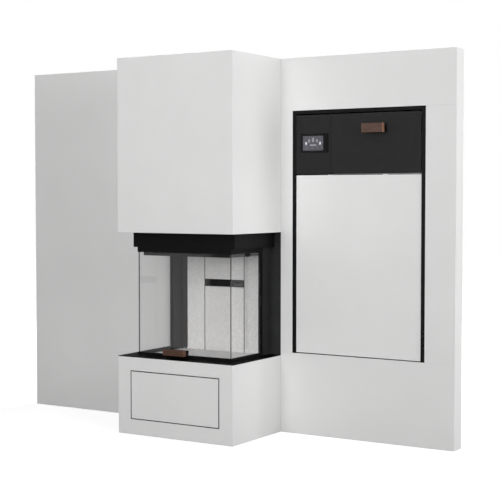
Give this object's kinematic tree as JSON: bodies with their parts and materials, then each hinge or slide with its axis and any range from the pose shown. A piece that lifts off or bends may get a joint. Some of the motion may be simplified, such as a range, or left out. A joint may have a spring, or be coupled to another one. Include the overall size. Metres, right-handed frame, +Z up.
{
  "type": "fireplace insert",
  "caption": "Three-sided lift-door fireplace insert in a white breast, with a wall-built fuel hopper module that feeds it from behind.",
  "frame": {"origin": "centre of the footprint, on the floor", "axes": "+Z up, +X to the right along the wall, +Y from the room into the wall"},
  "size_m": [3, 0.927, 2.2],
  "materials": {
    "white_board": "matt white paint on board",
    "timber": "sawn softwood",
    "black_steel": "matt heat-proof black paint",
    "raw_steel": "plain steel",
    "galvanised": "zinc-coated sheet",
    "lining": "pressed vermiculite board, pale grey",
    "clear_glass": "clear heat-proof glass ceramic",
    "oak": "oiled dark oak",
    "belt_rubber": "toothed belt",
    "cast_weight": "rough cast",
    "dark_plastic": "fine matt black",
    "display": "lit screen, grey-violet"
  },
  "bodies": {
    "frame": {"wall_boards": "white_board", "wall_frame": "timber", "breast_front_board": "white_board", "breast_side_boards": "white_board", "breast_end_boards": "white_board", "base_front_board": "white_board", "base_side_boards": "white_board", "access_catches": "timber", "hearth_plate": "black_steel", "base_pan": "black_steel", "floor_lining": "lining", "rear_lining": "lining", "chamber_back": "black_steel", "side_columns": "black_steel", "wall_flanges": "black_steel", "guide_strips": "dark_plastic", "smoke_dome": "black_steel", "baffle_plate": "lining", "flue_pipe": "black_steel", "hood_sleeve": "black_steel", "shaft_bearings": "cast_weight", "lift_belts": "belt_rubber", "insert_stand": "raw_steel", "stand_feet": "raw_steel", "air_box": "galvanised", "air_spigot": "galvanised", "flap_actuator": "dark_plastic", "module_frame": "black_steel", "control_panel": "black_steel", "display_screen": "display", "hatch_hinge": "raw_steel", "module_casing": "galvanised", "module_back": "galvanised", "module_feet": "raw_steel", "electrics": "dark_plastic", "hopper": "galvanised", "hopper_grille": "raw_steel", "auger_housing": "galvanised", "auger_motor": "dark_plastic", "drop_chute": "galvanised"},
    "door": {"door_glass_front": "clear_glass", "door_glass_sides": "clear_glass", "door_bottom_rail": "black_steel", "door_top_rail": "black_steel", "door_trims": "black_steel", "door_stiles": "black_steel", "door_handle_grip": "oak"},
    "counterweight_left": {"counterweight_left": "cast_weight"},
    "counterweight_right": {"counterweight_right": "cast_weight"},
    "lift_shaft": {"lift_shaft": "raw_steel"},
    "idler_left": {"idler_left": "raw_steel"},
    "idler_right": {"idler_right": "raw_steel"},
    "hatch": {"hatch_panel": "black_steel", "hatch_cheeks": "galvanised", "hatch_handle_grip": "oak", "hatch_handle_bracket": "black_steel"},
    "cover": {"cover_panel": "white_board"},
    "access": {"access_panel": "white_board"},
    "auger": {"auger_screw": "raw_steel"},
    "air_flap": {"air_flap": "galvanised"}
  },
  "joints": [
    {"name": "door_lift", "type": "slide", "parent": "frame", "child": "door", "axis": [0, 0, 1], "range_m": [0, 0.56]},
    {"name": "counterweight_left_slide", "type": "slide", "parent": "frame", "child": "counterweight_left", "axis": [0, 0, 1], "range_m": [-0.56, 0]},
    {"name": "counterweight_right_slide", "type": "slide", "parent": "frame", "child": "counterweight_right", "axis": [0, 0, 1], "range_m": [-0.56, 0]},
    {"name": "lift_shaft_turn", "type": "hinge", "parent": "frame", "child": "lift_shaft", "pos_m": [0, 0.0435, 1.7], "axis": [1, 0, 0], "range_deg": [-1282.9, 0]},
    {"name": "idler_left_turn", "type": "hinge", "parent": "frame", "child": "idler_left", "pos_m": [-0.3157, 0.0435, 0.52], "axis": [1, 0, 0], "range_deg": [-1282.9, 0]},
    {"name": "idler_right_turn", "type": "hinge", "parent": "frame", "child": "idler_right", "pos_m": [0.3157, 0.0435, 0.52], "axis": [1, 0, 0], "range_deg": [-1282.9, 0]},
    {"name": "hatch_tilt", "type": "hinge", "parent": "frame", "child": "hatch", "pos_m": [1.015, 0.073, 1.537], "axis": [1, 0, 0], "range_deg": [0, 38]},
    {"name": "cover_pull", "type": "slide", "parent": "frame", "child": "cover", "axis": [0, -1, 0], "range_m": [0, 0.25]},
    {"name": "access_pull", "type": "slide", "parent": "frame", "child": "access", "axis": [0, -1, 0], "range_m": [0, 0.25]},
    {"name": "auger_turn", "type": "hinge", "parent": "frame", "child": "auger", "pos_m": [1.04, 0.2135, 0.56], "axis": [-0.9032, 0, 0.4292], "continuous": true},
    {"name": "air_flap_turn", "type": "hinge", "parent": "frame", "child": "air_flap", "pos_m": [0, 0.1125, 0.33], "axis": [1, 0, 0], "range_deg": [0, 90]}
  ],
  "couplings": [
    {"joint": "counterweight_left_slide", "follows": "door_lift", "ratio": -1},
    {"joint": "counterweight_right_slide", "follows": "door_lift", "ratio": -1},
    {"joint": "lift_shaft_turn", "follows": "door_lift", "rad_per_m": -39.92},
    {"joint": "idler_left_turn", "follows": "door_lift", "rad_per_m": -39.92},
    {"joint": "idler_right_turn", "follows": "door_lift", "rad_per_m": -39.92}
  ]
}
